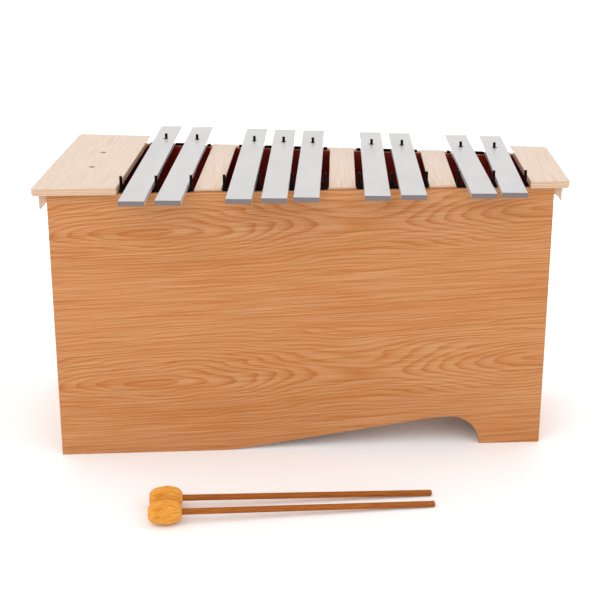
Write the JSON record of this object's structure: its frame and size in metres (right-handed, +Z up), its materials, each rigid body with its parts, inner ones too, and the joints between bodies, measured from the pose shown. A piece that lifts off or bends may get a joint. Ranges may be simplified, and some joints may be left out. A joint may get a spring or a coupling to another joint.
{
  "type": "xylophone",
  "caption": "Floor-standing metallophone: a tapering wooden resonator box with a row of loose metal bars on rubber rests, guide posts, plywood end caps and yarn-headed mallets.",
  "frame": {"origin": "on the floor, at the middle of the footprint of the box, its bars and the pair of mallets lying in front of it", "axes": "+Z up, +X towards the short treble bars, +Y from the player's side to the back"},
  "size_m": [0.793, 0.6174, 0.447],
  "materials": {
    "box_laminate": "satin lacquered wood laminate with horizontal grain",
    "inner_plywood": "bare plywood, unlacquered",
    "pale_plywood": "satin lacquered pale plywood",
    "black_rubber": "matt black rubber",
    "nail_steel": "bright steel",
    "bar_aluminium": "fine brushed, anodised",
    "shaft_wood": "clear lacquered hardwood dowel",
    "core_rubber": "matt",
    "head_yarn": "wound wool yarn"
  },
  "bodies": {
    "case": {"front_board": "box_laminate", "back_board": "box_laminate", "left_end_board": "box_laminate", "right_end_board": "box_laminate", "resonator_floor": "inner_plywood", "chamber_partition_1": "inner_plywood", "chamber_partition_2": "inner_plywood", "chamber_partition_3": "inner_plywood", "left_cap": "pale_plywood", "right_cap": "pale_plywood", "slot_filler_1": "pale_plywood", "slot_filler_2": "pale_plywood", "slot_filler_3": "pale_plywood", "left_grip": "pale_plywood", "right_grip": "pale_plywood", "front_rest_1": "black_rubber", "back_rest_1": "black_rubber", "front_rest_2": "black_rubber", "back_rest_2": "black_rubber", "front_rest_3": "black_rubber", "back_rest_3": "black_rubber", "front_rest_4": "black_rubber", "back_rest_4": "black_rubber", "front_post_sleeves": "black_rubber", "back_pin_sleeves": "black_rubber", "front_guide_nails": "nail_steel", "back_guide_nails": "nail_steel"},
    "bar_c_sharp_low": {"bar_c_sharp_low": "bar_aluminium"},
    "bar_d_sharp_low": {"bar_d_sharp_low": "bar_aluminium"},
    "bar_f_sharp_low": {"bar_f_sharp_low": "bar_aluminium"},
    "bar_g_sharp_low": {"bar_g_sharp_low": "bar_aluminium"},
    "bar_a_sharp": {"bar_a_sharp": "bar_aluminium"},
    "bar_c_sharp_high": {"bar_c_sharp_high": "bar_aluminium"},
    "bar_d_sharp_high": {"bar_d_sharp_high": "bar_aluminium"},
    "bar_f_sharp_high": {"bar_f_sharp_high": "bar_aluminium"},
    "bar_g_sharp_high": {"bar_g_sharp_high": "bar_aluminium"},
    "mallet_rear": {"mallet_rear_shaft": "shaft_wood", "mallet_rear_core": "core_rubber", "mallet_rear_yarn": "head_yarn"},
    "mallet_front": {"mallet_front_shaft": "shaft_wood", "mallet_front_core": "core_rubber", "mallet_front_yarn": "head_yarn"}
  },
  "joints": [
    {"name": "bar_c_sharp_low_lift", "type": "slide", "parent": "case", "child": "bar_c_sharp_low", "axis": [0, 0, 1], "range_m": [0, 0.05]},
    {"name": "bar_d_sharp_low_lift", "type": "slide", "parent": "case", "child": "bar_d_sharp_low", "axis": [0, 0, 1], "range_m": [0, 0.05]},
    {"name": "bar_f_sharp_low_lift", "type": "slide", "parent": "case", "child": "bar_f_sharp_low", "axis": [0, 0, 1], "range_m": [0, 0.05]},
    {"name": "bar_g_sharp_low_lift", "type": "slide", "parent": "case", "child": "bar_g_sharp_low", "axis": [0, 0, 1], "range_m": [0, 0.05]},
    {"name": "bar_a_sharp_lift", "type": "slide", "parent": "case", "child": "bar_a_sharp", "axis": [0, 0, 1], "range_m": [0, 0.05]},
    {"name": "bar_c_sharp_high_lift", "type": "slide", "parent": "case", "child": "bar_c_sharp_high", "axis": [0, 0, 1], "range_m": [0, 0.05]},
    {"name": "bar_d_sharp_high_lift", "type": "slide", "parent": "case", "child": "bar_d_sharp_high", "axis": [0, 0, 1], "range_m": [0, 0.05]},
    {"name": "bar_f_sharp_high_lift", "type": "slide", "parent": "case", "child": "bar_f_sharp_high", "axis": [0, 0, 1], "range_m": [0, 0.05]},
    {"name": "bar_g_sharp_high_lift", "type": "slide", "parent": "case", "child": "bar_g_sharp_high", "axis": [0, 0, 1], "range_m": [0, 0.05]},
    {"name": "mallet_rear_lift", "type": "slide", "parent": "case", "child": "mallet_rear", "axis": [0, 0, 1], "range_m": [0, 0.12]},
    {"name": "mallet_front_lift", "type": "slide", "parent": "case", "child": "mallet_front", "axis": [0, 0, 1], "range_m": [0, 0.12]}
  ]
}
